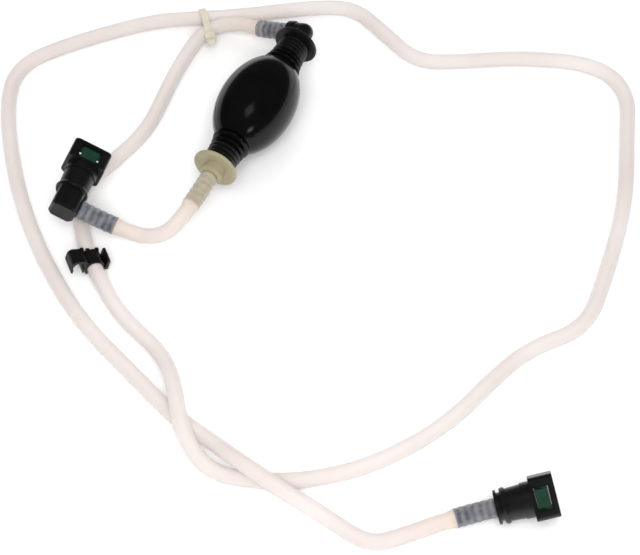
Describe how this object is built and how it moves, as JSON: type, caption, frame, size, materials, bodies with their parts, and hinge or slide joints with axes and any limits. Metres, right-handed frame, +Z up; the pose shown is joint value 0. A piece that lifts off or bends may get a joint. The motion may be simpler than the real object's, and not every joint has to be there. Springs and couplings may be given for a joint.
{
  "type": "siphon bulb pump",
  "caption": "Hand-squeezed rubber bulb fuel primer pump with ribbed necks, a flanged inlet, an elbow outlet, milky nylon hoses, quick connectors, a pipe clip and a cable tie.",
  "frame": {"origin": "on the surface it lies on, under the centre of the rigid pump (bulb and both end fittings)", "axes": "+X along the bulb, in the direction of flow from the flanged inlet to the elbow outlet; +Y the way the outlet elbow leads off; +Z up"},
  "size_m": [0.4195, 0.4792, 0.052],
  "materials": {
    "bulb_rubber": "gloss",
    "black_plastic": "satin",
    "cream_nylon": "satin, slightly translucent",
    "milky_nylon": "milky translucent",
    "green_plastic": "satin",
    "o_ring_rubber": "matt",
    "valve_seal_rubber": "matt",
    "valve_steel": "bright"
  },
  "bodies": {
    "pump": {"bulb_body": "bulb_rubber", "inlet_clamp": "black_plastic", "outlet_clamp": "black_plastic", "inlet_fitting": "cream_nylon", "outlet_fitting": "black_plastic", "inlet_valve_seal": "valve_seal_rubber", "inlet_valve_spring": "valve_steel", "inlet_valve_cage": "cream_nylon", "outlet_valve_seat": "black_plastic", "outlet_valve_seal": "valve_seal_rubber", "outlet_valve_spring": "valve_steel", "straight_connector_body": "black_plastic", "straight_seal_retainer": "black_plastic", "straight_o_rings": "o_ring_rubber", "straight_seal_spacer": "black_plastic", "elbow_connector_body": "black_plastic", "elbow_seal_retainer": "black_plastic", "elbow_o_rings": "o_ring_rubber", "elbow_seal_spacer": "black_plastic", "pipe_clip": "black_plastic", "cable_tie": "cream_nylon", "tube_short": "milky_nylon", "tube_long": "milky_nylon"},
    "inlet_ball": {"inlet_valve_ball": "valve_steel"},
    "outlet_ball": {"outlet_valve_ball": "valve_steel"},
    "straight_button_upper": {"straight_release_upper": "green_plastic"},
    "straight_button_lower": {"straight_release_lower": "green_plastic"},
    "elbow_button_upper": {"elbow_release_upper": "green_plastic"},
    "elbow_button_lower": {"elbow_release_lower": "green_plastic"}
  },
  "joints": [
    {"name": "inlet_valve", "type": "slide", "parent": "pump", "child": "inlet_ball", "axis": [1, 0, 0], "range_m": [0, 0.002], "stiffness_N_per_m": 60, "springref_m": -0.002, "deforming": ["inlet_valve_spring"]},
    {"name": "outlet_valve", "type": "slide", "parent": "pump", "child": "outlet_ball", "axis": [1, 0, 0], "range_m": [0, 0.002], "stiffness_N_per_m": 60, "springref_m": -0.002, "deforming": ["outlet_valve_spring"]},
    {"name": "straight_release", "type": "slide", "parent": "pump", "child": "straight_button_upper", "axis": [0.5631, 0.1656, -0.8096], "range_m": [0, 0.0012], "stiffness_N_per_m": 4000, "springref_m": -0.001},
    {"name": "straight_release_far_side", "type": "slide", "parent": "pump", "child": "straight_button_lower", "axis": [-0.5631, -0.1656, 0.8096], "range_m": [0, 0.0012], "stiffness_N_per_m": 4000, "springref_m": -0.001},
    {"name": "elbow_release", "type": "slide", "parent": "pump", "child": "elbow_button_upper", "axis": [-0.0521, 0.371, -0.9272], "range_m": [0, 0.0012], "stiffness_N_per_m": 4000, "springref_m": -0.001},
    {"name": "elbow_release_far_side", "type": "slide", "parent": "pump", "child": "elbow_button_lower", "axis": [0.0521, -0.371, 0.9272], "range_m": [0, 0.0012], "stiffness_N_per_m": 4000, "springref_m": -0.001}
  ],
  "couplings": [
    {"joint": "straight_release_far_side", "follows": "straight_release", "ratio": 1},
    {"joint": "elbow_release_far_side", "follows": "elbow_release", "ratio": 1}
  ]
}
